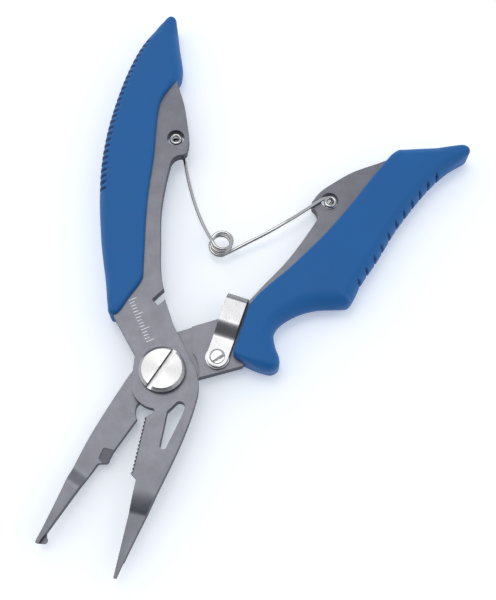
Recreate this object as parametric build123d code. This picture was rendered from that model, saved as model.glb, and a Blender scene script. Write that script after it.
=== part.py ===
# Split-ring fishing pliers: two stamped steel levers stacked on a slotted pivot screw,
# moulded grips, a wire torsion spring between the handles and a swinging lock catch.
#
# Frame: +Z up, out of the flat of the tool; the tool lies on z = 0. The origin is on the
# pivot axis, in the underside of the pivot nut. +Y runs from the pivot to the handles and
# the jaws point to -Y. Each lever is drawn with the pliers closed, where the jaws meet on
# x = 0, and is then swung out by half the opening angle, to the sprung-open rest position.
import os
from math import cos, radians, sin

from build123d import *

# ---- driving dimensions, mm and degrees ----
OPEN_ANGLE = 22.5      # between the two levers at rest
PLATE = 3.0            # stamped plate thickness
NUT_FLANGE = 1.6       # pivot nut's head, under the lower lever
LAP_DEPTH = 0.8        # recess in the lower lever that the upper one lies in
LAP_WASHER = 0.1       # shim between the levers
GRIP_HEIGHT = 8.4      # both grips, through the tool
TIP_LOW, TIP_TOP = 2.5, 5.2   # the two tips share this band of heights
RUNNING = 0.05         # radial clearance of a turning fit

BARREL_R = 4.0         # pivot nut's barrel, through both levers
SCREW_R = 2.5          # pivot screw's stem, in the barrel
HEAD_R = 6.15          # pivot screw's head
HEAD_HEIGHT = 2.1
HEAD_CHAMFER = 0.8
SLOT_WIDTH, SLOT_DEPTH = 1.4, 1.1
SLOT_ANGLE = -10.0     # about +Z, from +Y

WIRE_R = 0.5           # torsion spring wire
COIL_R = 2.8           # coil, to the middle of the wire
COIL_PITCH = 1.3
UPPER_HOLE = (-12.2, 68.3)    # the spring's holes in the closed levers
LOWER_HOLE = (9.5, 67.3)
SPRING_HOLE_R = 2.45
COIL = (-0.7, 40.4)    # coil centre at rest
LEG_TANGENT = 39.0     # direction in which a leg leaves the coil, above the X axis
# each leg's bow: share of the way from coil to hole, and distance off that line
LEG_BOW = [(0.2, -2.8), (0.41, -2.4), (0.63, -1.3), (0.8, 0.05), (0.93, 1.15)]

RIVET = (9.6, 11.4)    # catch rivet, on the closed lower lever
RIVET_R = 1.5
CATCH_PARKED = 15.6    # catch direction, from +Y towards -X, closed lower lever
CATCH_SWING = 41.0     # from parked to locked
CATCH_WIDTH = 5.8
CATCH_THICK = 1.0
CATCH_REACH = 17.4     # rivet centre to the outside of the bent lip

# ---- heights that follow ----
LOW_BOTTOM = NUT_FLANGE
LOW_TOP = LOW_BOTTOM + PLATE
LAP_FLOOR = LOW_TOP - LAP_DEPTH
UP_BOTTOM = LAP_FLOOR + LAP_WASHER
UP_TOP = UP_BOTTOM + PLATE
HEAD_BOTTOM = UP_TOP + 0.3
CATCH_WASHER = 0.9
HALF = OPEN_ANGLE / 2

# The closing stop: the lower lever's shoulder faces the upper lever's straight neck edge.
# Both are parallel lines at these distances from the pivot, closed.
STOP_DIRECTION = 38.3  # of the lines' common normal, from +X
NECK_DISTANCE = 8.0
SHOULDER_DISTANCE = 8.25
SHOULDER_ARC = 9.6     # round the pivot, clear of the upper lever's boss

LEFT, RIGHT = -1, 1


def outline(start, *steps):
    """Face inside a closed run of lines, three-point arcs and smooth curves from start."""
    here, edges = start, []
    for kind, *points in steps:
        if kind == "line":
            for point in points:
                edges.append(Line(here, point))
                here = point
            continue
        make = ThreePointArc if kind == "arc" else Spline
        edges.append(make(here, *points))
        here = points[-1]
    if here != start:
        edges.append(Line(here, start))
    return make_face(edges)


def slab(face, bottom, top):
    """The face's outline, as a solid between two heights."""
    return extrude(Pos(0, 0, bottom) * face, top - bottom)


def side_cut(*points):
    """A solid as wide as the tool, whose (y, z) section is the polygon or steps given."""
    section = Plane.YZ * outline(*points)
    return extrude(section, 60, both=True)


def on_stop_line(distance, along):
    """A point at a distance from the pivot along the stop lines' normal, and along them."""
    a = radians(STOP_DIRECTION)
    return (distance * cos(a) - along * sin(a), distance * sin(a) + along * cos(a))


def swung(shape, side):
    """A closed lever's shape moved to the rest position: the left handle, or the right."""
    return shape.rotate(Axis.Z, -side * HALF)


def swung_point(point, side):
    a = radians(-side * HALF)
    x, y = point
    return (x * cos(a) - y * sin(a), x * sin(a) + y * cos(a))


def drilled(solid, point, radius):
    return solid - Pos(point[0], point[1], -5) * Cylinder(radius, 40)


def lobe_edge(side):
    """A handle's inner edge from the plate's end, round the spring lobe, to the neck.
    The upper lever's lobe lies further out than the lower lever's."""
    if side == LEFT:
        out = (0.6, 1.1, 1.2, 1.2, 1.2, 1.2, 1.2, 1.2, 1.2, 1.2, 0.9, 0.6, 0.2, 0.0)
        up = (0.5, 0.8, 0.8, 0.8, 0.8, 0.8, 0.8, 0.6, 0.4, 0.0, 0.0, 0.0, 0.0, 0.0)
    else:
        out = (-0.3, -0.8, -1.2, -1.3, -1.3, -1.3, -1.2, -1.0, -0.9, -0.6, -0.4, -0.2, 0.0, 0.0)
        up = (0.2, 0.3, 0.35, 0.35, 0.35, 0.35, 0.35, 0.3, 0.2, 0.0, 0.0, 0.0, 0.0, 0.0)
    plain = [(14.3, 83.9), (11.1, 78.5), (8.6, 72.2), (7.4, 68.7), (6.95, 64.6), (7.25, 63.0),
             (8.6, 62.3), (10.1, 61.3), (10.7, 59.4), (10.5, 51.5), (9.8, 43.0), (8.5, 36.0),
             (7.4, 29.5), (5.0, 22.7)]
    edge = [(side * (x + dx), y + dy) for (x, y), dx, dy in zip(plain, out, up)]
    return [("curve", *edge[:5]), ("arc", *edge[5:7]), ("arc", *edge[7:9]), ("curve", *edge[9:])]


def blade_teeth(x, low, high, pitch=1.02, depth=0.45):
    """Corner points of a saw edge that runs up from low to high."""
    points, y = [], low
    while y + pitch <= high:
        points += [(x, y), (x + depth, y + pitch / 2)]
        y += pitch
    return points + [(x, y)]


# ---- levers ----
def make_upper_lever():
    neck = on_stop_line(NECK_DISTANCE, 10.3)
    plan = outline(
        (0.05, -53.3),
        ("line", (0.05, -28.9), (-1.7, -27.8)),
        ("line", *blade_teeth(-1.7, -27.5, -13.1)),
        ("line", (0.1, -11.5)),
        ("arc", (0.4, -10.9), (-0.1, -10.35)),
        ("arc", (-4.9, -8.75), (-7.2, -5.1)),
        ("line", (-8.1, 2.6), (-16.3, 12.1)),
        ("curve", (-18.6, 18.5), (-22.0, 29.0), (-25.5, 43.0), (-28.0, 58.0), (-28.3, 74.0),
         (-26.8, 88.0), (-24.6, 97.0)),
        ("arc", (-22.4, 98.4), (-20.2, 96.6)),
        ("line", (-16.9, 88.6)),
        *lobe_edge(LEFT),
        ("line", (-3.8, 19.4), neck, on_stop_line(NECK_DISTANCE, -1.9)),
        ("arc", (9.35, 0.4), (10.4, -5.5)),
        ("curve", (9.6, -14.0), (6.75, -27.8), (3.75, -40.0), (0.75, -53.3)),
    )
    sides = side_cut(
        (110, UP_BOTTOM),
        ("line", (110, UP_TOP), (-31.0, UP_TOP)),
        ("arc", (-34.2, UP_TOP - 0.4), (-37.4, TIP_TOP)),
        ("line", (-54, TIP_TOP), (-54, 3.75), (-49.3, 3.75), (-49.3, TIP_LOW), (-36.6, TIP_LOW),
         (-31.0, UP_BOTTOM)),
    )
    lever = slab(plan, TIP_LOW, UP_TOP) & sides

    window = outline(
        (3.7, -10.4), ("line", (5.7, -7.4)), ("arc", (7.2, -7.3), (8.0, -8.9)),
        ("line", (7.7, -10.6), (5.7, -19.2)), ("arc", (4.9, -20.2), (3.9, -19.6)),
    )
    lever -= slab(window, 0, 10)

    bevel = outline((-1.0, UP_TOP + 0.1), ("line", (-2.0, UP_TOP + 0.1), (-2.0, UP_TOP - 1.0)))
    lever -= Pos(0, -20.3, 0) * extrude(Plane.XZ * bevel, 7.2, both=True)

    lever = drilled(lever, (0, 0), BARREL_R + RUNNING)
    lever = drilled(lever, UPPER_HOLE, SPRING_HOLE_R)
    return lever - catch_notch()


def catch_notch():
    """Slot that the catch's lip drops into, square to the locked catch."""
    direction = CATCH_PARKED + CATCH_SWING
    slot = Pos(0.5, 17.0) * Rectangle(7.4, 2.45)
    slot = fillet(slot.vertices().group_by(Axis.X)[0], 0.5)
    return slab(Pos(*RIVET) * (Rot(0, 0, direction) * slot), 0, 10)


def make_lower_lever():
    plan = outline(
        (-0.05, -50.0),
        ("line", (-0.05, -28.9), (0.35, -28.4), (1.5, -27.7)),
        ("arc", (1.85, -27.2), (1.7, -26.4)),
        ("line", (1.35, -24.0), (1.35, -13.8)),
        ("arc", (0.0, -12.6), (-0.8, -11.1)),
        ("arc", (-0.5, -9.6), (0.6, -8.6)),
        ("arc", (7.3, -4.2), (8.2, 3.9)),
        ("line", (16.2, 13.3)),
        ("curve", (16.4, 18.0), (15.6, 24.5), (17.3, 33.0), (21.5, 41.5), (25.4, 50.0),
         (26.8, 62.0), (27.2, 76.0), (27.4, 87.0)),
        ("arc", (25.2, 91.5), (20.4, 91.0)),
        ("line", (16.9, 88.6)),
        *lobe_edge(RIGHT),
        ("line", (3.3, 20.4), (-3.7, 11.6)),
        ("arc", (-6.5, 6.9), (-7.0, 0.5)),
        ("line", (-7.3, -5.5)),
        ("curve", (-6.7, -16.0), (-5.75, -26.0), (-3.3, -39.5), (-0.95, -52.6)),
        ("line", (-0.7, -53.3), (0.9, -52.4)),
        ("arc", (1.25, -51.6), (0.5, -50.8)),
    )
    sides = side_cut(
        (60, LOW_BOTTOM),
        ("line", (60, LAP_FLOOR), (-32.3, LAP_FLOOR)),
        ("arc", (-33.5, LAP_FLOOR + 0.16), (-34.75, LAP_FLOOR + 0.7)),
        ("arc", (-36.0, TIP_TOP - 0.16), (-37.2, TIP_TOP)),
        ("line", (-54, TIP_TOP), (-54, TIP_LOW), (-37.0, TIP_LOW), (-32.0, LOW_BOTTOM)),
    )
    corners = [on_stop_line(d, t) for d, t in
               ((SHOULDER_DISTANCE, 60), (SHOULDER_DISTANCE, -60), (150, -60), (150, 60))]
    handle = slab(outline(corners[0], ("line", *corners[1:])), LOW_BOTTOM, LOW_TOP)
    handle -= Pos(0, 0, LAP_FLOOR) * Cylinder(
        SHOULDER_ARC, 10, align=(Align.CENTER, Align.CENTER, Align.MIN))
    lever = slab(plan, LOW_BOTTOM, TIP_TOP) & (sides + handle)

    beak_relief = Pos(5, -51, 3.6) * Box(10, 6, 5, align=(Align.CENTER, Align.CENTER, Align.MIN))
    heel = outline((-1.3, -24.6), ("line", (2.6, -23.2), (2.6, -28.6), (-0.7, -27.6)))
    heel = slab(fillet(heel.vertices(), 0.5), LAP_FLOOR - 0.2, 10)
    lever -= beak_relief + heel

    lever = drilled(lever, (0, 0), BARREL_R)
    lever = drilled(lever, LOWER_HOLE, SPRING_HOLE_R)
    return drilled(lever, RIVET, RIVET_R)


# ---- grips ----
def make_upper_grip(lever):
    plan = outline(
        (-17.4, 12.2),
        ("line", (-15.4, 13.1), (-11.1, 24.3)),
        ("curve", (-12.1, 28.7), (-14.7, 42.6), (-16.0, 51.5), (-16.9, 60.7), (-18.6, 71.6),
         (-19.2, 77.9), (-18.6, 81.2), (-16.9, 85.2), (-15.6, 87.2)),
        ("curve", (-15.6, 91.8), (-17.8, 99.3), (-20.8, 107.2)),
        ("arc", (-22.1, 108.8), (-23.8, 108.4)),
        ("curve", (-29.7, 96.4), (-31.6, 86.6), (-32.4, 76.1), (-32.4, 66.3), (-31.3, 55.4),
         (-29.1, 45.3), (-26.6, 36.7), (-24.8, 31.2), (-21.5, 22.5), (-18.5, 13.6)),
    )
    return moulded(plan) - lever


def make_lower_grip(lever):
    plan = outline(
        (12.4, 14.2),
        ("line", (8.7, 27.7)),
        ("curve", (9.9, 35.4), (11.7, 42.2), (13.0, 48.7), (14.6, 58.1), (15.6, 68.4),
         (16.1, 79.0), (16.6, 86.0)),
        ("arc", (16.8, 89.9), (18.3, 92.3)),
        ("line", (32.1, 103.1)),
        ("arc", (34.5, 103.2), (35.1, 101.0)),
        ("curve", (33.4, 95.9), (31.6, 89.8), (30.1, 79.0), (29.8, 69.0), (30.3, 59.2),
         (30.5, 50.5), (31.0, 45.6)),
        ("arc", (30.8, 43.2), (29.2, 41.6)),
        ("curve", (24.4, 37.8), (20.8, 33.7), (18.5, 28.8), (18.4, 25.4), (20.3, 22.9),
         (23.3, 20.4)),
        ("arc", (24.8, 17.9), (23.2, 15.6)),
        ("line", (20.6, 14.5)),
    )
    return moulded(plan) - lever


def moulded(plan):
    """A grip's solid, with its corners rounded in plan and its rims above and below."""
    plan = fillet(plan.vertices(), 0.8)
    grip = slab(plan, 0, GRIP_HEIGHT)
    rims = grip.edges().group_by(Axis.Z)
    return fillet(rims[0] + rims[-1], 1.2)


# ---- pivot ----
def make_pivot_screw():
    head = Cylinder(HEAD_R, HEAD_HEIGHT, align=(Align.CENTER, Align.CENTER, Align.MIN))
    head = chamfer(head.edges().group_by(Axis.Z)[-1], HEAD_CHAMFER)
    slot = Pos(0, 0, HEAD_HEIGHT - SLOT_DEPTH) * Box(
        SLOT_WIDTH, 40, 5, align=(Align.CENTER, Align.CENTER, Align.MIN))
    head -= slot.rotate(Axis.Z, SLOT_ANGLE)
    stem = Cylinder(SCREW_R - RUNNING, 6.0, align=(Align.CENTER, Align.CENTER, Align.MAX))
    return Pos(0, 0, HEAD_BOTTOM) * (head + stem)


def make_pivot_nut():
    base = (Align.CENTER, Align.CENTER, Align.MIN)
    flange = Cylinder(6.2, NUT_FLANGE, align=base)
    flange = chamfer(flange.edges().group_by(Axis.Z)[0], 0.4)
    barrel = Cylinder(BARREL_R, HEAD_BOTTOM, align=base)
    thread = Pos(0, 0, 0.8) * Cylinder(SCREW_R, 20, align=base)
    return flange + barrel - thread


def washer(outer, inner, bottom, top):
    return slab(Circle(outer) - Circle(inner), bottom, top)


# ---- lock catch ----
def rounded_path(points, radii):
    """Edges through the points in the YZ plane, each inner corner rounded by its radius."""
    return FilletPolyline(*[(0, y, z) for y, z in points], radius=radii)


def bent_section(path, radii, thickness):
    """Section of a strip of even thickness along a path bent at its inner corners."""
    runs = [(Vector(*q) - Vector(*p)).normalized() for p, q in zip(path, path[1:])]
    across = [Vector(-run.Y, run.X) for run in runs]
    sides = []
    for half in (thickness / 2, -thickness / 2):
        points, bends = [Vector(*path[0]) + across[0] * half], []
        for i in range(1, len(runs)):
            middle = (across[i - 1] + across[i]).normalized()
            points.append(Vector(*path[i]) + middle * (half / middle.dot(across[i])))
            turn = runs[i - 1].X * runs[i].Y - runs[i - 1].Y * runs[i].X
            bends.append(radii[i - 1] - half if turn > 0 else radii[i - 1] + half)
        points.append(Vector(*path[-1]) + across[-1] * half)
        sides.append(rounded_path([(p.X, p.Y) for p in points], bends))
    upper, lower = sides
    ends = [Line(upper @ 0, lower @ 0), Line(upper @ 1, lower @ 1)]
    return make_face(upper.edges() + lower.edges() + ends)


def make_catch():
    """Bent strip along +Y from the rivet: a low eye, a step up and a lip turned down."""
    half = CATCH_THICK / 2
    low = LOW_TOP + CATCH_WASHER + half
    high = UP_TOP + 0.3 + half
    lip = CATCH_REACH - half
    path = [(-4, low), (6.1, low), (9.0, high), (lip, high), (lip, UP_BOTTOM + 0.9)]
    section = bent_section(path, [1.5, 1.3, 1.1], CATCH_THICK)
    strip = extrude(section, CATCH_WIDTH / 2, both=True)
    side = CATCH_WIDTH / 2
    shadow = outline(
        (side, 0), ("line", (side, 30), (-side, 30), (-side, 0)), ("arc", (0, -side), (side, 0)))
    catch = strip & slab(shadow, 0, 20)
    return drilled(catch, (0, 0), RIVET_R + RUNNING)


def make_rivet():
    """Domed head over the catch, shank through the lower lever, upset tail beneath."""
    seat = LOW_TOP + CATCH_WASHER + CATCH_THICK + 0.05
    head_r, head_h, tail_r, tail_h = 2.05, 0.75, 2.3, 0.7
    ball = (head_r**2 + head_h**2) / (2 * head_h)
    dome = Pos(0, 0, seat + head_h - ball) * Sphere(ball)
    dome &= Pos(0, 0, seat) * Cylinder(head_r, 3, align=(Align.CENTER, Align.CENTER, Align.MIN))
    shank = slab(Circle(RIVET_R), LOW_BOTTOM, seat)
    tail = slab(Circle(tail_r), LOW_BOTTOM - tail_h, LOW_BOTTOM)
    tail = chamfer(tail.edges().group_by(Axis.Z)[0], 0.3)
    return dome + shank + tail


# ---- torsion spring, as two half coils that turn about one axis ----
def rod(start, end, radius=WIRE_R):
    """Round wire from start to end, with a ball at its far end."""
    run = Vector(*end) - Vector(*start)
    wire = Solid.make_cylinder(radius, run.length, Plane(origin=start, z_dir=run))
    return Part() + wire + Pos(*end) * Sphere(radius)


def make_spring_half(side):
    """One leg, its hook in the lever's hole and half of the coil."""
    turns_total = (720 + 2 * LEG_TANGENT) / 360
    turns = turns_total / 2
    rise = turns * COIL_PITCH
    middle = (LOW_TOP + UP_TOP) / 2 - 1.3
    hole = swung_point(UPPER_HOLE if side == LEFT else LOWER_HOLE, side)
    if side == LEFT:
        level, hook_end, coil_end = UP_BOTTOM - 0.6, UP_TOP - 0.6, middle + rise
    else:
        level, hook_end, coil_end = LOW_TOP + 0.6, LOW_BOTTOM + 0.6, middle - rise

    # a left-handed helix from z = 0, which starts at +X of its own frame
    helix = Helix(COIL_PITCH, rise, COIL_R, lefthand=True)
    section = Plane(origin=helix @ 0, z_dir=helix % 0) * Circle(WIRE_R)
    coil = sweep(section, path=helix, is_frenet=True)
    leave = -90 + LEG_TANGENT if side == RIGHT else 270 - LEG_TANGENT
    if side == RIGHT:
        coil = coil.rotate(Axis.Z, leave)
        coil = Pos(*COIL, coil_end) * coil
    else:
        coil = coil.rotate(Axis.Z, leave + turns * 360)
        coil = Pos(*COIL, middle) * coil

    a = radians(leave)
    foot = (COIL[0] + COIL_R * cos(a), COIL[1] + COIL_R * sin(a), coil_end)
    route = [foot]
    span = Vector(hole[0] - COIL[0], hole[1] - COIL[1])
    across = Vector(-span.Y, span.X) * (side / span.length)
    for i, (share, bow) in enumerate(LEG_BOW):
        at = Vector(*COIL) + span * share + across * bow
        route.append((at.X, at.Y, coil_end + (level - coil_end) * min(1, (i + 1) / 3)))
    route += [(hole[0], hole[1], level), (hole[0], hole[1], hook_end)]
    leg = rod(route[0], route[1])
    for start, end in zip(route[1:], route[2:]):
        leg += rod(start, end)
    return coil + leg


def write(node, shape):
    export_step(shape, f"parts/{node}.step")


def main():
    os.makedirs("parts", exist_ok=True)
    upper, lower = make_upper_lever(), make_lower_lever()
    write("upper_lever", swung(upper, LEFT))
    write("lower_lever", swung(lower, RIGHT))
    write("upper_grip", swung(make_upper_grip(upper), LEFT))
    write("lower_grip", swung(make_lower_grip(lower), RIGHT))

    write("pivot_screw", make_pivot_screw())
    write("pivot_nut", make_pivot_nut())
    write("head_washer", washer(6.0, BARREL_R + 0.1, UP_TOP + 0.02, HEAD_BOTTOM - 0.02))
    write("lap_washer", washer(6.5, BARREL_R + 0.1, LAP_FLOOR, UP_BOTTOM))

    at_rivet = Pos(*RIVET)
    catch = at_rivet * make_catch().rotate(Axis.Z, CATCH_PARKED)
    spacer = at_rivet * washer(3.15, RIVET_R + 0.02, LOW_TOP, LOW_TOP + CATCH_WASHER - 0.02)
    write("lock_catch", swung(catch, RIGHT))
    write("catch_rivet", swung(at_rivet * make_rivet(), RIGHT))
    write("catch_washer", swung(spacer, RIGHT))

    write("spring_upper_leg", make_spring_half(LEFT))
    write("spring_lower_leg", make_spring_half(RIGHT))


main()
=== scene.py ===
import math

import bmesh
import bpy
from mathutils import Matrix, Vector


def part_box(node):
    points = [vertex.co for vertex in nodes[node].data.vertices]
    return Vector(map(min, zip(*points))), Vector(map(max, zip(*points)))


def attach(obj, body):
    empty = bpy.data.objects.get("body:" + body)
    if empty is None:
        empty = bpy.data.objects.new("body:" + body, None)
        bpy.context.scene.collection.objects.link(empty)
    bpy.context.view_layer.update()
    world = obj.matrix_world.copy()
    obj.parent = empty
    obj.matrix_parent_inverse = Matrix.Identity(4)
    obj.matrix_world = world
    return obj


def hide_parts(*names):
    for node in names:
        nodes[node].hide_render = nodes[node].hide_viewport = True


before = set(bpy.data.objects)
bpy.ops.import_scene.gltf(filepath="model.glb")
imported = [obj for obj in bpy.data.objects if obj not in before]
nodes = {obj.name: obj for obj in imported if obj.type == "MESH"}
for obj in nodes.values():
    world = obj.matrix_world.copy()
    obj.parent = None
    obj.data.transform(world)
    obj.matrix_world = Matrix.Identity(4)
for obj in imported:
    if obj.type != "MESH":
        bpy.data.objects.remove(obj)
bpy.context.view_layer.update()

# Lengths are in millimetres, with the pivot's axis at x = y = 0 and +Z up. The levers and
# grips are drawn closed, and each swings by HALF to the open rest position.
MM = 0.001
HALF = math.radians(11.25)
LEFT, RIGHT = -1, 1             # the handle that a shape belongs to, as the sign of its x


# ---------------------------------------------------------------- node helpers
class Shader:
    """A Principled material with short calls for the nodes that shape it."""

    def __init__(self, name, color, metallic, roughness, **sockets):
        self.mat = bpy.data.materials.new(name)
        self.mat.use_nodes = True
        self.tree = self.mat.node_tree
        self.bsdf = self.tree.nodes["Principled BSDF"]
        self.set("Base Color", (*color, 1))
        self.set("Metallic", metallic)
        self.set("Roughness", roughness)
        for key, value in sockets.items():
            self.set(key.replace("_", " "), value)
        self.coords = self.node("ShaderNodeTexCoord").outputs["Object"]

    def set(self, socket, value):
        self.bsdf.inputs[socket].default_value = value

    def link(self, socket, output):
        self.tree.links.new(output, self.bsdf.inputs[socket])

    def node(self, kind, inputs=None, **props):
        n = self.tree.nodes.new(kind)
        for key, value in props.items():
            setattr(n, key, value)
        for key, value in (inputs or {}).items():
            self.plug(n.inputs[key], value)
        return n

    def plug(self, socket, value):
        if isinstance(value, bpy.types.NodeSocket):
            self.tree.links.new(value, socket)
        else:
            socket.default_value = value

    def stretched(self, scale):
        """Object coordinates, scaled by a different factor along each axis."""
        n = self.node("ShaderNodeMapping", {"Vector": self.coords, "Scale": scale})
        return n.outputs["Vector"]

    def noise(self, scale, detail=2.0, roughness=0.5, vector=None):
        n = self.node("ShaderNodeTexNoise", {"Vector": vector or self.coords, "Scale": scale,
                                             "Detail": detail, "Roughness": roughness})
        return n.outputs["Fac"]

    def spread(self, value, low, high, to_low=0.0, to_high=1.0):
        """Map the range low to high onto to_low to to_high, clamped at both ends."""
        n = self.node("ShaderNodeMapRange", {0: value, 1: low, 2: high, 3: to_low, 4: to_high})
        return n.outputs[0]

    def math(self, operation, a, b=0.0):
        return self.node("ShaderNodeMath", {0: a, 1: b}, operation=operation).outputs[0]

    def tinted(self, color, tone):
        """A colour made lighter or darker by a factor."""
        n = self.node("ShaderNodeVectorMath", {0: color, 3: tone}, operation="SCALE")
        return n.outputs[0]

    def mix(self, factor, a, b):
        """Two colours by a factor. Each is a socket or a tuple."""
        n = self.node("ShaderNodeMix", data_type="RGBA")
        self.plug(n.inputs[0], factor)
        self.plug(n.inputs[6], a if isinstance(a, bpy.types.NodeSocket) else (*a, 1))
        self.plug(n.inputs[7], b if isinstance(b, bpy.types.NodeSocket) else (*b, 1))
        return n.outputs[2]

    def bump(self, height, distance, strength=1.0):
        n = self.node("ShaderNodeBump", {"Height": height, "Strength": strength,
                                         "Distance": distance * MM})
        self.link("Normal", n.outputs["Normal"])


# ---------------------------------------------------------------- mesh helpers
def coat(obj, shader):
    """Give an object one material. Clearing the list resets the faces' material numbers,
    so it is skipped where the list is empty."""
    if len(obj.data.materials):
        obj.data.materials.clear()
    obj.data.materials.append(shader.mat)


def placed(name, data):
    """A new object in the scene."""
    obj = bpy.data.objects.new(name, data)
    bpy.context.scene.collection.objects.link(obj)
    return obj


def add(name, bm, shader, body, node=(), smooth=True, weighted=True):
    """A finished piece from a bmesh, riding on a body and standing for CAD nodes."""
    for f in bm.faces:
        f.smooth = smooth
    mesh = bpy.data.meshes.new(name)
    bm.to_mesh(mesh)
    bm.free()
    obj = placed(name, mesh)
    coat(obj, shader)
    if weighted:
        obj.modifiers.new("weighted", "WEIGHTED_NORMAL").keep_sharp = True
    if node:
        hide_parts(*node)
    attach(obj, body)
    return obj


def round_edges(bm, angle, width, segments):
    """Bevel every edge that turns by more than this angle, in degrees."""
    sharp = [e for e in bm.edges if e.calc_face_angle(0) > math.radians(angle)]
    bmesh.ops.bevel(bm, geom=sharp, offset=width * MM, segments=segments, profile=0.5,
                    affect="EDGES", clamp_overlap=True)


def skin(bm, rings):
    """Quads from each ring of vertices to the next, all the way round."""
    faces = []
    for near, far in zip(rings, rings[1:]):
        for i in range(len(near)):
            j = (i + 1) % len(near)
            faces.append(bm.faces.new((near[i], near[j], far[j], far[i])))
    return faces


def swung(x, y, side):
    """A point of a closed lever, moved to the rest position."""
    a = -side * HALF
    return (x * math.cos(a) - y * math.sin(a), x * math.sin(a) + y * math.cos(a))


SPAN_SAMPLES = 40               # points per span before they are spaced evenly


def smooth_span(a, b, c, d):
    """Points from b towards c on a smooth curve that also heeds its neighbours a and d."""
    chord = (c - b).length
    leaving = (c - a).normalized() * chord
    arriving = (d - b).normalized() * chord
    for k in range(SPAN_SAMPLES):
        t = k / SPAN_SAMPLES
        h = (2 * t**3 - 3 * t**2 + 1, t**3 - 2 * t**2 + t, -2 * t**3 + 3 * t**2, t**3 - t**2)
        yield b * h[0] + leaving * h[1] + c * h[2] + arriving * h[3]


def spaced(points, step, closed):
    """Points evenly spaced along a polyline."""
    line = points + [points[0]] if closed else points
    runs = [0.0]
    for p, q in zip(line, line[1:]):
        runs.append(runs[-1] + (q - p).length)
    total = runs[-1]
    count = max(3, round(total / step))
    out, j = [], 0
    for i in range(count if closed else count + 1):
        want = total * i / count
        while j < len(runs) - 2 and runs[j + 1] < want:
            j += 1
        share = (want - runs[j]) / max(runs[j + 1] - runs[j], 1e-9)
        out.append(line[j].lerp(line[j + 1], share))
    return out


def smooth_loop(points, step, closed=True):
    """Points evenly spaced along a smooth curve through the given ones."""
    points = [Vector(p) for p in points]
    n = len(points)
    dense = []
    for i in range(n if closed else n - 1):
        after = i + 2 if closed else min(i + 2, n - 1)
        before = i - 1 if closed else max(i - 1, 0)
        dense += smooth_span(points[before], points[i], points[(i + 1) % n], points[after % n])
    if not closed:
        dense.append(points[-1])
    return spaced(dense, step, closed)


# ---------------------------------------------------------------- materials
STROKES = (9000, 700, 2000)     # the brushed grain: fine across the tool, long along it


def steel(name, color, roughness, grain, mottle=0.06):
    """Sheet metal: fine strokes along the tool, a cloudy tone and scattered tiny pits.
    Grain is the depth of the strokes, and mottle the strength of the tone's changes."""
    s = Shader(name, color, 1.0, roughness)
    strokes = s.noise(1.0, 2.0, 0.6, s.stretched(STROKES))
    cloud = s.noise(260.0, 3.0, 0.55)
    pits = s.noise(2600.0, 2.0, 0.5)
    tone = s.math("ADD", s.spread(cloud, 0.3, 0.7, 1 - mottle, 1 + mottle),
                  s.spread(strokes, 0.2, 0.8, -1.45 * mottle, 1.45 * mottle))
    tone = s.math("SUBTRACT", tone, s.spread(pits, 0.66, 0.74, 0.0, 2.5 * mottle))
    s.link("Base Color", s.tinted(color, tone))
    s.link("Roughness", s.spread(strokes, 0.25, 0.75, roughness * (1 - 1.5 * mottle),
                                 roughness * (1 + 2 * mottle)))
    s.bump(s.math("ADD", strokes, s.math("MULTIPLY", pits, 0.6)), grain, 0.5)
    return s


RING_PITCH = 0.11               # between the rings left by the lathe


def turned_steel():
    """Lathe-turned stainless: fine rings round the axis, streaks out from it and a soft painted
    dark bow on two sides, which stands in for the dark sectors of its reflection."""
    s = Shader("turned_steel", (0.72, 0.715, 0.7), 1.0, 0.3, Anisotropic=0.75)
    tangent = s.node("ShaderNodeTangent", direction_type="RADIAL", axis="Z")
    s.link("Tangent", tangent.outputs[0])
    parts = s.node("ShaderNodeSeparateXYZ", {0: s.coords})
    x, y = parts.outputs[0], parts.outputs[1]
    radius = s.math("SQRT", s.math("ADD", s.math("MULTIPLY", x, x), s.math("MULTIPLY", y, y)))
    rings = s.math("SINE", s.math("MULTIPLY", radius, 2 * math.pi / (RING_PITCH * MM)))
    angle = s.math("ARCTAN2", y, x)
    turn = s.node("ShaderNodeCombineXYZ", {0: angle, 1: s.math("MULTIPLY", radius, 60)})
    streak = s.noise(14.0, 4.0, 0.65, turn.outputs[0])
    # painted reflection: the face is darker on two opposite sides
    painted_reflection_bow = s.math("POWER", s.math("ABSOLUTE", s.math("COSINE", s.math("ADD", angle, -0.25))), 3.0)
    tone = s.math("MULTIPLY", s.spread(streak, 0.3, 0.7, 0.74, 1.1),
                  s.spread(painted_reflection_bow, 0.0, 1.0, 1.0, 0.8))
    s.link("Base Color", s.tinted((0.53, 0.525, 0.525), tone))
    s.link("Roughness", s.spread(streak, 0.3, 0.7, 0.26, 0.36))
    s.bump(rings, 0.004, 0.25)
    return s


def moulded_rubber(name, base):
    """Matt thermoplastic rubber with a fine moulded grain and faint pale dust."""
    s = Shader(name, base, 0.0, 0.56, Sheen_Weight=0.05, Sheen_Roughness=0.5)
    s.set("Specular IOR Level", 0.3)
    grain = s.noise(5200.0, 2.0, 0.5)
    cloud = s.noise(55.0, 4.0, 0.6)
    dust = s.noise(900.0, 5.0, 0.7)
    shade = s.tinted(base, s.spread(cloud, 0.3, 0.7, 0.95, 1.05))
    s.link("Base Color", s.mix(s.spread(dust, 0.62, 0.85, 0.0, 0.1), shade, (0.12, 0.22, 0.4)))
    s.link("Roughness", s.spread(cloud, 0.3, 0.7, 0.52, 0.62))
    s.bump(grain, 0.02, 0.35)
    return s


def etched_marks():
    """Pale etching, worn in places."""
    s = Shader("etched_marks", (0.72, 0.72, 0.73), 0.6, 0.5)
    worn = s.noise(1500.0, 3.0, 0.6)
    s.link("Base Color", s.mix(s.spread(worn, 0.35, 0.75), (0.8, 0.8, 0.81), (0.45, 0.45, 0.47)))
    return s


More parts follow.
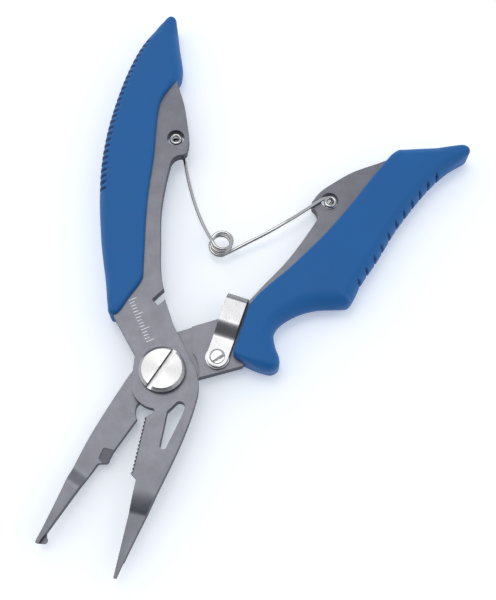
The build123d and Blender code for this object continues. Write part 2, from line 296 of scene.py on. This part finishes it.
lever_steel = steel("lever_steel", (0.197, 0.199, 0.223), 0.42, 0.03, 0.09)
# darker steel for the shorn walls and edges: partly sheared finish, partly painted shade
shorn_steel_painted_shade = steel("shorn_steel_painted_shade", (0.09, 0.09, 0.105), 0.5, 0.02)
# the pocket's floor: rougher pressed finish, with its darker colour as painted shade
pressed_steel_painted_shade = steel("pressed_steel_painted_shade", (0.15, 0.152, 0.168), 0.55, 0.03)
strip_steel = steel("strip_steel", (0.325, 0.325, 0.335), 0.25, 0.01, 0.09)
wire_steel = steel("wire_steel", (0.5, 0.495, 0.48), 0.11, 0.0008, 0.02)
nut_steel = steel("nut_steel", (0.5, 0.5, 0.5), 0.3, 0.008, 0.03)
screw_steel = turned_steel()
# near-black steel on the walls of the screw's slot: painted shade
slot_wall_painted_shade = steel("slot_wall_painted_shade", (0.03, 0.03, 0.035), 0.6, 0.01)
# the screw slot's floor, paler than the face: painted light against the slot's own shade
slot_floor_painted_light = steel("slot_floor_painted_light", (0.72, 0.72, 0.72), 0.45, 0.01, 0.12)
rubber = moulded_rubber("moulded_rubber", (0.007, 0.116, 0.355))
# darker rubber inside the cuts: painted shade in the grooves
groove_rubber_painted_shade = moulded_rubber("groove_rubber_painted_shade", (0.005, 0.07, 0.23))


# ---------------------------------------------------------------- levers, screw and nut
WELD = 2e-6                     # metres: vertices this close are one
FLAT = math.radians(0.4)        # faces this close in direction are merged
EDGE_ANGLE = 28                 # degrees: sharper edges than this are rounded


def edged(node, width, body, shader, *others, carve=None):
    """A CAD node's shape with merged flats and rounded edges. Each of the others is a
    test(centre in mm, normal) and the material for the faces it picks out. Carve may
    change the mesh first."""
    bm = bmesh.new()
    bm.from_mesh(nodes[node].data)
    bmesh.ops.remove_doubles(bm, verts=bm.verts, dist=WELD)
    bmesh.ops.dissolve_limit(bm, angle_limit=FLAT, verts=bm.verts, edges=bm.edges)
    if carve:
        carve(bm)
    round_edges(bm, EDGE_ANGLE, width, 2)
    for index, (test, _) in enumerate(others, 1):
        for f in bm.faces:
            if test(f.calc_center_median() / MM, f.normal):
                f.material_index = index
    obj = add(node + "_finished", bm, shader, body, (node,))
    for _, other in others:
        obj.data.materials.append(other.mat)
    return obj


def shorn_and_shaded(p, n):
    """The walls left by shearing the plate, and the bevel of the serrated edge: darker steel,
    partly their sheared finish and partly painted shade beside the plates.
    """
    return abs(n.z) < 0.8


POCKET = Vector(swung(0.8, -26.0, RIGHT))       # the small pressed pocket on the lower jaw
POCKET_REACH, POCKET_TOP = 2.2, 3.7


def pressed(p, n):
    """The floor of the pressed pocket, in darker steel: its rougher pressed finish, and painted
    shade in the recess.
    """
    return (p.xy - POCKET).length < POCKET_REACH and n.z > 0.9 and p.z < POCKET_TOP


SLOT_ACROSS = Vector((math.cos(math.radians(-10)), math.sin(math.radians(-10))))
SLOT_HALF, SLOT_LOW, SLOT_HIGH = 0.76, 7.2, 9.2
SLOT_FLOOR, SLOT_DEEPER = 8.6, 0.15     # vertices below the first are lowered by the second


def in_slot(p):
    """Near the floor and walls of the screw's slot, 10 degrees clockwise of +Y."""
    return abs(p.xy.dot(SLOT_ACROSS)) < SLOT_HALF and SLOT_LOW < p.z < SLOT_HIGH


# the slot's floor, which gets paler steel as painted light
def slot_floor(p, n):
    return in_slot(p) and n.z > 0.7


# the slot's walls, which get near-black steel as painted shade
def slot_wall(p, n):
    return in_slot(p) and abs(n.z) < 0.5


def deepen_slot(bm):
    """Lower the floor of the screw's slot a little."""
    for v in bm.verts:
        if in_slot(v.co / MM) and v.co.z / MM < SLOT_FLOOR:
            v.co.z -= SLOT_DEEPER * MM


edged("upper_lever", 0.13, "upper", lever_steel, (shorn_and_shaded, shorn_steel_painted_shade))
edged("lower_lever", 0.13, "lower", lever_steel, (shorn_and_shaded, shorn_steel_painted_shade),
      (pressed, pressed_steel_painted_shade))
edged("pivot_screw", 0.09, "lower", screw_steel, (slot_floor, slot_floor_painted_light),
      (slot_wall, slot_wall_painted_shade), carve=deepen_slot)
edged("pivot_nut", 0.1, "lower", nut_steel)
for name in ("head_washer", "lap_washer", "catch_washer"):
    coat(nodes[name], nut_steel)


# ---------------------------------------------------------------- catch
CATCH_AXIS = Vector((11.64, 9.31))
CATCH_LEAN = math.radians(15.6) - HALF          # parked, anticlockwise of +Y
CATCH_HALF, CATCH_THICK = 2.9, 1.0
CATCH_REACH, LIP = 17.3, 3.0
STEP_START, STEP_END = 6.05, 9.0                # where the strip rises over the upper lever
BENDS = (4.2, 4.2, 1.5)                         # radii at both ends of the step and at the lip


def filleted(points, radii, steps=10):
    """Points along a polyline whose inner corners are replaced by arcs."""
    out = [Vector(points[0])]
    for p, q, r, radius in zip(points, points[1:], points[2:], radii):
        q = Vector(q)
        a, b = (Vector(p) - q).normalized(), (Vector(r) - q).normalized()
        half = a.angle(b) / 2
        middle = q + (a + b).normalized() * (radius / math.sin(half))
        start, end = q + a * (radius / math.tan(half)), q + b * (radius / math.tan(half))
        for i in range(steps + 1):
            arm = (start - middle).lerp(end - middle, i / steps).normalized() * radius
            out.append(middle + arm)
    return out + [Vector(points[-1])]


def catch_line():
    """The strip's middle line from eye to lip, as distance ahead of the axis and height."""
    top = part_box("lock_catch")[1][2] / MM - CATCH_THICK / 2
    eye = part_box("catch_washer")[1][2] / MM + CATCH_THICK / 2
    line = filleted([(-CATCH_HALF, eye), (STEP_START, eye), (STEP_END, top),
                     (CATCH_REACH, top), (CATCH_REACH, top - LIP)], BENDS)
    round_end = [Vector((-CATCH_HALF * math.cos(math.radians(a)), eye)) for a in range(6, 90, 7)]
    return round_end + [Vector((x, eye)) for x in (0.0, 2.0, 4.0)] + line[1:]


def catch_strip():
    """Spring-steel strip: round eye end, a step up in a soft double bend, a lip turned down."""
    ahead = Vector((-math.sin(CATCH_LEAN), math.cos(CATCH_LEAN)))
    aside = Vector((math.cos(CATCH_LEAN), math.sin(CATCH_LEAN)))
    stations = catch_line()
    bm = bmesh.new()
    rings = []
    for i, p in enumerate(stations):
        run = (stations[min(i + 1, len(stations) - 1)] - stations[max(i - 1, 0)]).normalized()
        up = Vector((-run.y, run.x)) * (CATCH_THICK / 2)
        wide = math.sqrt(CATCH_HALF**2 - min(p.x, 0) ** 2)
        ring = []
        for offset, w in ((up, -wide), (up, wide), (-up, wide), (-up, -wide)):
            c = p + offset
            at = CATCH_AXIS + ahead * c.x + aside * w
            ring.append(bm.verts.new((at.x * MM, at.y * MM, c.y * MM)))
        rings.append(ring)
    skin(bm, rings)
    bm.faces.new(rings[0])
    bm.faces.new(list(reversed(rings[-1])))
    bmesh.ops.recalc_face_normals(bm, faces=bm.faces)
    round_edges(bm, 50, 0.14, 3)
    return add("catch_strip", bm, strip_steel, "catch", ("lock_catch",))


catch_strip()


# ---------------------------------------------------------------- catch rivet
AROUND = 64                     # vertices in each ring of the rivet
HEAD = 0.75                     # the dome's height over its seat
# each row is a radius and a height, over the seat or over the rivet's foot
DOME = [(0.5, 0.72), (1.0, 0.63), (1.4, 0.5), (1.7, 0.36), (1.9, 0.24)]
RIM = [(2.02, 0.12), (2.05, 0.0), (1.5, 0.18)]
TAIL = [(1.5, 0.7), (2.3, 0.7), (2.3, 0.3), (2.0, 0.0)]
# the two flats left by the hammer: fall along x and y, and height on the axis
FLATS = [((-0.03, -0.045), 0.46), ((0.33, -0.275), 0.64)]
FLAT_LOWEST = 0.18


def hammered(x, y, height):
    """The dome's height at a point, cut down to its flats."""
    flats = [level - fall_x * x - fall_y * y for (fall_x, fall_y), level in FLATS]
    return max(min([height] + flats), FLAT_LOWEST)


def rivet():
    """Hammered dome over the catch, shank and tail."""
    low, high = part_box("catch_rivet")
    cx, cy = (low[0] + high[0]) / 2, (low[1] + high[1]) / 2
    foot, seat = low[2], high[2] - HEAD * MM
    bm = bmesh.new()

    def ring(radius, base, height, shape=None):
        verts = []
        for i in range(AROUND):
            a = 2 * math.pi * i / AROUND
            x, y = radius * math.cos(a), radius * math.sin(a)
            z = shape(x, y, height) if shape else height
            verts.append(bm.verts.new((cx + x * MM, cy + y * MM, base + z * MM)))
        return verts

    centre = bm.verts.new((cx, cy, seat + hammered(0, 0, HEAD) * MM))
    rings = [ring(r, seat, h, hammered) for r, h in DOME]
    rings += [ring(r, seat, h) for r, h in RIM]
    rings += [ring(r, foot, h) for r, h in TAIL]
    for i in range(AROUND):
        bm.faces.new((centre, rings[0][i], rings[0][(i + 1) % AROUND]))
    skin(bm, rings)
    bm.faces.new(list(reversed(rings[-1])))
    bmesh.ops.recalc_face_normals(bm, faces=bm.faces)
    return add("catch_rivet_hammered", bm, nut_steel, "lower", ("catch_rivet",), smooth=False,
               weighted=False)


rivet()


# ---------------------------------------------------------------- moulded grips
GRIP_HEIGHT = 8.4
SPACING = 0.22                  # between the points of a grip's outline
WIDEST = 9.0                    # the largest disc looked for inside the outline
DISC_SHARE = 0.82               # the most of that disc that a rounding takes up
WIDTH_BLUR, DISC_BLUR = 9, 8    # points on each side that the two are averaged over
OVAL, SHALLOWEST = 1.22, 0.85   # the rounding's height over its width, and its least height
WALL = 0.05                     # half of what is left between the two roundings at least
OUTER = 0.2                     # a normal that points this far out is on the outer edge
# degrees: the rings from the underside to the top
TILTS = [-90, -76, -62, -48, -34, -20, -6, 6, 16, 26, 36, 46, 54, 62, 70, 78, 84, 90]
CUT_FAR = 5.0                   # no cut reaches this far along the outline
CUT_NARROWING = 0.55            # share of a cut's width lost at its inner end
CUT_SIDE, CUT_END = 2.2, 0.35   # how steep its sides are, and the share of it that ramps out
SUNK = 1.2                      # a face whose four depths add up to more is inside a cut


def disc_radius(loop, normals, i):
    """Radius of the largest disc inside the outline that touches it at point i."""
    best = WIDEST
    p, n = loop[i], normals[i]
    for q in loop[::3]:
        d = p - q
        along = d.dot(n)
        if along > 1e-6:
            best = min(best, d.length_squared / (2 * along))
    return best


def averaged(values, width):
    """Each value of a ring, averaged with its neighbours on both sides."""
    count = len(values)
    return [sum(values[(i + k) % count] for k in range(-width, width + 1)) / (2 * width + 1)
            for i in range(count)]


def outward(loop):
    """Unit normals that point out of a closed outline, whichever way it turns."""
    count = len(loop)
    turn = sum(p.x * q.y - q.x * p.y for p, q in zip(loop, loop[1:] + loop[:1]))
    normals = []
    for i in range(count):
        t = loop[(i + 2) % count] - loop[i - 2]
        n = Vector((t.y, -t.x)).normalized()
        normals.append(n if turn > 0 else -n)
    return normals


def edge_widths(loop, normals, control):
    """The rounding's width along the outline, from the two nearest control points, and
    less where the grip is narrow."""
    widths = []
    for p in loop:
        near = sorted(control, key=lambda c: (Vector(c[:2]) - p).length_squared)[:2]
        d = [max((Vector(c[:2]) - p).length, 1e-6) for c in near]
        widths.append((near[0][2] / d[0] + near[1][2] / d[1]) / (1 / d[0] + 1 / d[1]))
    discs = averaged([disc_radius(loop, normals, i) for i in range(len(loop))], DISC_BLUR)
    return [min(w, DISC_SHARE * r) for w, r in zip(averaged(widths, WIDTH_BLUR), discs)]


def cut_depth(cuts, loop, i, inset):
    """Depth of the deepest cut at point i of the outline and this far in from it. A cut
    narrows inwards, and ramps out at its sides and its inner end."""
    count, deepest = len(loop), 0.0
    for k, half, depth, slant, reach in cuts:
        gap = (i - k + count // 2) % count - count // 2
        if abs(gap) * SPACING > CUT_FAR:
            continue
        away = math.copysign(abs(gap) * SPACING, loop[i].y - loop[k].y)
        along = away - slant * inset
        spread = half * (1 - CUT_NARROWING * min(inset / reach, 1))
        if abs(along) < spread and inset < reach:
            side = min(1.0, (1 - abs(along) / spread) * CUT_SIDE)
            end = min(1.0, (reach - inset) / (CUT_END * reach))
            deepest = max(deepest, depth * side * end)
    return deepest


def grip(name, side, body, control, cuts):
    """Soft-edged moulding on a lever's handle. Each control point is x, y and the width of
    the rounding there. Cuts are (y, half width, depth, slant, reach) grooves across the
    outer edge."""
    loop = smooth_loop([c[:2] for c in control], SPACING)
    normals = outward(loop)
    widths = edge_widths(loop, normals, control)
    outer = [i for i in range(len(loop)) if normals[i].x * side > OUTER]
    cuts = [(min(outer, key=lambda k: abs(loop[k].y - y)), *rest) for y, *rest in cuts]
    middle = GRIP_HEIGHT / 2
    bm = bmesh.new()
    rings, sunk = [], {}
    for tilt in TILTS:
        a = math.radians(tilt)
        ring = []
        for i, (p, n, w) in enumerate(zip(loop, normals, widths)):
            tall = min(middle - WALL, max(w * OVAL, SHALLOWEST))
            inset = w * (1 - math.cos(a))
            depth = cut_depth(cuts, loop, i, inset)
            in_by = inset + depth * math.cos(a)
            x, y = swung(p.x - n.x * in_by, p.y - n.y * in_by, side)
            z = middle + math.copysign(middle - tall, tilt) + tall * math.sin(a)
            z -= depth * math.sin(a)
            ring.append(bm.verts.new((x * MM, y * MM, z * MM)))
            sunk[ring[-1]] = depth
        rings.append(ring)
    # faces inside a cut take the darker rubber, as painted shade in the groove
    for face in skin(bm, rings):
        face.material_index = int(sum(sunk[v] for v in face.verts) > SUNK)
    bm.faces.new(rings[-1])
    bm.faces.new(list(reversed(rings[0])))
    bmesh.ops.recalc_face_normals(bm, faces=bm.faces)
    obj = add(name + "_moulding", bm, rubber, body, (name,))
    obj.data.materials.append(groove_rubber_painted_shade.mat)
    return obj


TIGHT, FREE, SCOOP = 0.8, 3.4, 5.2      # rounding beside the plate, outside, by the finger
UPPER_GRIP = [
    (-16.4, 12.5, 1.2), (-15.3, 13.4, TIGHT), (-13.4, 18.4, TIGHT), (-11.3, 23.9, TIGHT),
    (-11.8, 27.5, TIGHT), (-14.7, 42.6, TIGHT), (-16.0, 51.5, TIGHT), (-16.9, 60.7, TIGHT),
    (-18.6, 71.6, TIGHT), (-19.2, 77.9, TIGHT), (-18.6, 81.2, TIGHT), (-16.9, 85.2, 1.4),
    (-15.9, 87.2, 2.0), (-15.3, 89.2, FREE), (-15.7, 92.2, FREE), (-18.1, 98.8, FREE),
    (-20.7, 106.4, FREE), (-21.3, 107.7, FREE), (-22.4, 108.2, FREE), (-23.5, 107.9, FREE),
    (-24.7, 106.4, FREE), (-26.7, 103.4, FREE), (-29.7, 96.4, FREE), (-31.6, 86.6, FREE),
    (-32.4, 76.1, FREE), (-32.4, 66.3, FREE), (-31.3, 55.4, FREE), (-29.1, 45.3, FREE),
    (-26.6, 36.7, FREE), (-24.8, 31.2, FREE), (-21.5, 22.5, FREE), (-18.6, 14.6, 2.0),
    (-17.6, 12.5, 1.4),
]
LOWER_GRIP = [
    (12.5, 14.6, TIGHT), (12.0, 16.4, TIGHT), (10.4, 22.0, TIGHT), (8.9, 27.2, TIGHT),
    (8.9, 30.4, TIGHT), (9.9, 35.4, TIGHT), (11.7, 42.2, TIGHT), (13.0, 48.7, TIGHT),
    (14.6, 58.1, TIGHT), (15.6, 68.4, TIGHT), (16.1, 79.0, TIGHT), (16.6, 86.0, TIGHT),
    (16.8, 89.2, 2.0), (17.4, 91.3, FREE), (19.4, 93.1, FREE), (25.6, 97.8, FREE),
    (31.2, 102.0, FREE), (32.6, 102.7, FREE), (34.0, 102.6, FREE), (34.9, 101.7, FREE),
    (34.9, 100.4, FREE), (33.3, 95.9, FREE), (31.6, 89.8, FREE), (30.7, 84.4, FREE),
    (30.1, 77.3, FREE), (29.8, 69.0, FREE), (30.3, 59.2, FREE), (30.3, 50.4, FREE),
    (30.9, 46.0, FREE), (30.8, 43.4, FREE), (29.4, 41.6, SCOOP), (24.4, 37.8, SCOOP),
    (20.8, 33.7, SCOOP), (18.5, 28.8, SCOOP), (18.4, 25.4, FREE), (20.3, 22.9, FREE),
    (23.3, 20.4, FREE), (24.6, 18.2, FREE), (23.9, 16.1, FREE), (21.6, 14.9, 2.4),
    (17.0, 14.3, 1.2), (13.4, 14.1, TIGHT),
]
RIB_TOP, RIB_PITCH, RIB_COUNT = 98.4, 1.95, 27
RIBS = [(RIB_TOP - RIB_PITCH * i, 0.6, 1.15, 0.12, 2.5) for i in range(RIB_COUNT)]
SLITS = [(y, 0.52, 1.1, 0.5, 1.35)
         for y in (89.4, 85.7, 82.0, 78.2, 74.3, 70.3, 66.2, 62.1, 58.0, 54.0, 50.0)]
grip("upper_grip", LEFT, "upper", UPPER_GRIP, RIBS)
grip("lower_grip", RIGHT, "lower", LOWER_GRIP, SLITS)


# ---------------------------------------------------------------- torsion spring
WIRE_R = 0.5
COIL = Vector((-0.7, 40.4, 4.45))
COIL_R, PITCH = 2.8, 1.15
LEAN = Vector((0.15, 0.65))     # the coil's slant: its top end lies this far from its middle
TURNS = (720 + 78) / 360        # of the whole coil, half of them on each leg
LEAVES = math.radians(-51)      # where a leg leaves the coil
EYE_R, EYE_NARROW = 1.36, 0.55  # an eye's ring, and how much narrower it is in its hole
LEG_SHARES = (0.2, 0.41, 0.63, 0.8)     # places along a leg for its bows
LEG_STEP = 0.5                  # between the points of a leg
LEVEL_AT = 0.6                  # share of a leg after which it keeps its height
APPROACH = 1.9                  # the straight stretch before its ring
DIVES, CLIMBED = 0.58, 0.5      # shares of the eyes: the lower one's ring ends at the first,
                                # and the upper one's begins at the second
SEATING = 2.5                   # how soon the offset of a ring from its hole is gone
COIL_STEPS, EYE_STEPS = 60, 72

# For each leg: its hole in the closed lever, the offset of its ring from that hole, the
# height at the ring, which way its half of the coil runs, the direction that it meets the
# ring in, how far it bows, and the turns and the height of its eye.
LEGS = {
    RIGHT: {"hole": (9.5, 67.3), "seat": (0.4, -0.6), "level": 5.15, "way": -1,
            "meets": 38, "bows": (-2.6, -2.2, -1.15, 0.0), "turns": 1.7, "climb": -1.9},
    LEFT: {"hole": (-12.2, 68.3), "seat": (0.0, 0.0), "level": 3.35, "way": 1,
           "meets": 62, "bows": (-2.65, -2.25, -1.2, 0.0), "turns": 2.0, "climb": 2.55},
}


def half_coil(side, way):
    """From the middle of the coil to the point where the leg leaves it."""
    path = []
    for i in range(COIL_STEPS + 1):
        share = i / COIL_STEPS
        a = LEAVES - math.pi * TURNS * (1 - share)
        x, y = COIL_R * math.cos(a), COIL_R * math.sin(a)
        slant = LEAN * way * share
        path.append(Vector((COIL.x + side * x + slant.x, COIL.y + y + slant.y,
                            COIL.z + way * PITCH * TURNS / 2 * share)))
    return path


def leg(side, start, hole, ring, level, meets, bows):
    """The bowed wire from the coil to its eye, changing height in its first part."""
    touch = Vector((ring.x - side * EYE_R * math.sin(meets), ring.y + EYE_R * math.cos(meets)))
    chord = hole - COIL.xy
    off = Vector((-chord.y, chord.x)) * (side / chord.length)
    points = [start.xy]
    points += [COIL.xy + chord * share + off * painted_reflection_bow for share, painted_reflection_bow in zip(LEG_SHARES, bows)]
    points += [(touch.x - side * APPROACH * math.cos(meets),
                touch.y - APPROACH * math.sin(meets)), touch]
    run = smooth_loop(points, LEG_STEP, closed=False)
    path = []
    for i, p in enumerate(run[1:], 1):
        share = min(1.0, i / (len(run) * LEVEL_AT))
        share = share * share * (3 - 2 * share)
        path.append(Vector((p.x, p.y, start.z + (level - start.z) * share)))
    return path


def eye(side, ring, seat, level, meets, turns, climb):
    """The upper eye climbs through its hole and ends in a flat ring, and the lower eye is
    a flat ring first, then turns down into its hole."""
    path = []
    for i in range(1, EYE_STEPS + 1):
        share = i / EYE_STEPS
        a = meets + math.pi / 2 - 2 * math.pi * turns * share
        if side == RIGHT:
            deep = max(0.0, (share - DIVES) / (1 - DIVES))
        else:
            deep = max(0.0, (CLIMBED - share) / CLIMBED)
        r = EYE_R - EYE_NARROW * math.sin(math.pi * min(1.0, deep))
        z = level + climb * (deep if side == RIGHT else 1 - deep)
        at = ring - seat * min(1.0, deep * SEATING)
        path.append(Vector((at.x + side * r * math.cos(a), at.y + r * math.sin(a), z)))
    return path


def wire(name, points, body, node):
    """Round wire along the points, riding on a body and standing for a CAD node."""
    data = bpy.data.curves.new(name, "CURVE")
    data.dimensions = "3D"
    data.bevel_depth = WIRE_R * MM
    data.bevel_resolution = 5
    data.use_fill_caps = True
    spline = data.splines.new("POLY")
    spline.points.add(len(points) - 1)
    for p, q in zip(spline.points, points):
        p.co = (q[0] * MM, q[1] * MM, q[2] * MM, 1)
    spline.use_smooth = True
    obj = placed(name, data)
    coat(obj, wire_steel)
    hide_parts(node)
    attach(obj, body)
    return obj


def spring(side, name, node, body):
    """Half of the spring: half of the coil, a leg and its eye."""
    has = LEGS[side]
    hole, seat = Vector(swung(*has["hole"], side)), Vector(has["seat"])
    ring, meets = hole + seat, math.radians(has["meets"])
    path = half_coil(side, has["way"])
    path += leg(side, path[-1], hole, ring, has["level"], meets, has["bows"])
    path += eye(side, ring, seat, has["level"], meets, has["turns"], has["climb"])
    return wire(name, path, body, node)


spring(RIGHT, "spring_wire_lower", "spring_lower_leg", "spring_root")
spring(LEFT, "spring_wire_upper", "spring_upper_leg", "spring_tail")


# ---------------------------------------------------------------- etched scale
SCALE_START, SCALE_END = Vector((-13.4, 17.2)), Vector((-6.0, 6.8))
MARKS, MARK_HALF = 15, 0.11
LONG_MARK, SHORT_MARK = 2.3, 1.35
ETCH_LIFT = 0.012               # over the plate


def etched_scale():
    """Short graduations along the upper lever's neck, lighter than the plate."""
    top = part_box("upper_lever")[1][2] + ETCH_LIFT * MM
    along = (SCALE_END - SCALE_START).normalized()
    across = Vector((-along.y, along.x))
    bm = bmesh.new()
    for i in range(MARKS):
        at = SCALE_START.lerp(SCALE_END, i / (MARKS - 1))
        length = LONG_MARK if i % 5 == 0 or i == MARKS - 1 else SHORT_MARK
        back, front = at - along * MARK_HALF, at + along * MARK_HALF
        corners = [back, front, front + across * length, back + across * length]
        bm.faces.new([bm.verts.new((*[c * MM for c in swung(p.x, p.y, LEFT)], top))
                      for p in corners])
    bmesh.ops.recalc_face_normals(bm, faces=bm.faces)
    for f in bm.faces:
        if f.normal.z < 0:
            f.normal_flip()
    return add("scale_marks", bm, etched_marks(), "upper", weighted=False)


etched_scale()


# ---------------------------------------------------------------- stage
FLOOR_EDGE, FLOOR_LEVEL = 3.0, -0.0002          # metres


def floor():
    """A plain pale floor."""
    e, z = FLOOR_EDGE, FLOOR_LEVEL
    mesh = bpy.data.meshes.new("floor")
    mesh.from_pydata([(-e, -e, z), (e, -e, z), (e, e, z), (-e, e, z)], [], [(0, 1, 2, 3)])
    obj = placed("floor", mesh)
    coat(obj, Shader("floor", (0.93, 0.935, 0.95), 0.0, 0.7,
                     Emission_Color=(0.82, 0.9, 1.0, 1), Emission_Strength=0.3))


ROOM = (0.93, 0.96, 1.0)
# each patch is a direction, the cosines where it begins and is full, and its colour
PATCHES = [((0.05, 0.55, 0.84), 0.86, 0.985, (0.46, 0.47, 0.5)),
           ((0.25, -0.95, 0.12), 0.5, 0.95, (0.12, 0.13, 0.16)),
           ((0.15, -0.62, 0.78), 0.72, 0.97, (0.2, 0.21, 0.23)),
           ((0, 0, -1), -0.25, 0.1, (0.55, 0.57, 0.6))]


def studio():
    """A white room with dimmer patches: overhead, behind the camera and below."""
    world = bpy.data.worlds.new("studio")
    bpy.context.scene.world = world
    world.use_nodes = True
    tree = world.node_tree
    coords = tree.nodes.new("ShaderNodeTexCoord").outputs["Generated"]
    color = None
    for direction, begins, full, shade in PATCHES:
        dot = tree.nodes.new("ShaderNodeVectorMath")
        dot.operation = "DOT_PRODUCT"
        tree.links.new(coords, dot.inputs[0])
        dot.inputs[1].default_value = Vector(direction).normalized()
        fade = tree.nodes.new("ShaderNodeMapRange")
        fade.interpolation_type = "SMOOTHSTEP"
        tree.links.new(dot.outputs["Value"], fade.inputs[0])
        fade.inputs[1].default_value = begins
        fade.inputs[2].default_value = full
        mix = tree.nodes.new("ShaderNodeMix")
        mix.data_type = "RGBA"
        tree.links.new(fade.outputs[0], mix.inputs[0])
        if color is None:
            mix.inputs[6].default_value = (*ROOM, 1)
        else:
            tree.links.new(color, mix.inputs[6])
        mix.inputs[7].default_value = (*shade, 1)
        color = mix.outputs[2]
    back = tree.nodes["Background"]
    tree.links.new(color, back.inputs["Color"])
    back.inputs["Strength"].default_value = 1.05


def key_light():
    """A soft square light, nearly overhead."""
    data = bpy.data.lights.new("key", "AREA")
    data.shape = "RECTANGLE"
    data.size, data.size_y = 0.38, 0.38
    data.energy = 1.5
    data.color = (1.0, 0.985, 0.96)
    obj = placed("key", data)
    obj.location = (-0.18, 0.21, 1.0)
    obj.rotation_euler = (-obj.location).to_track_quat("-Z", "Y").to_euler()


SENSOR, WIDTH_SHARE = 36.0, 62 / 75             # the film's height, and its width over that


def camera():
    """The camera looks down at the tool from in front and the right."""
    data = bpy.data.cameras.new("camera")
    data.sensor_fit = "VERTICAL"
    data.sensor_height = SENSOR
    data.sensor_width = SENSOR * WIDTH_SHARE
    data.lens = 57.0
    data.clip_start = 0.01
    obj = placed("camera", data)
    obj.location = (0.0470, -0.0538, 0.2474)
    aim = Vector((0.0121, 0.0292, 0)) - obj.location
    obj.rotation_euler = aim.to_track_quat("-Z", "Y").to_euler()
    bpy.context.scene.camera = obj


floor()
studio()
key_light()
camera()
bpy.context.scene.view_settings.view_transform = "Standard"
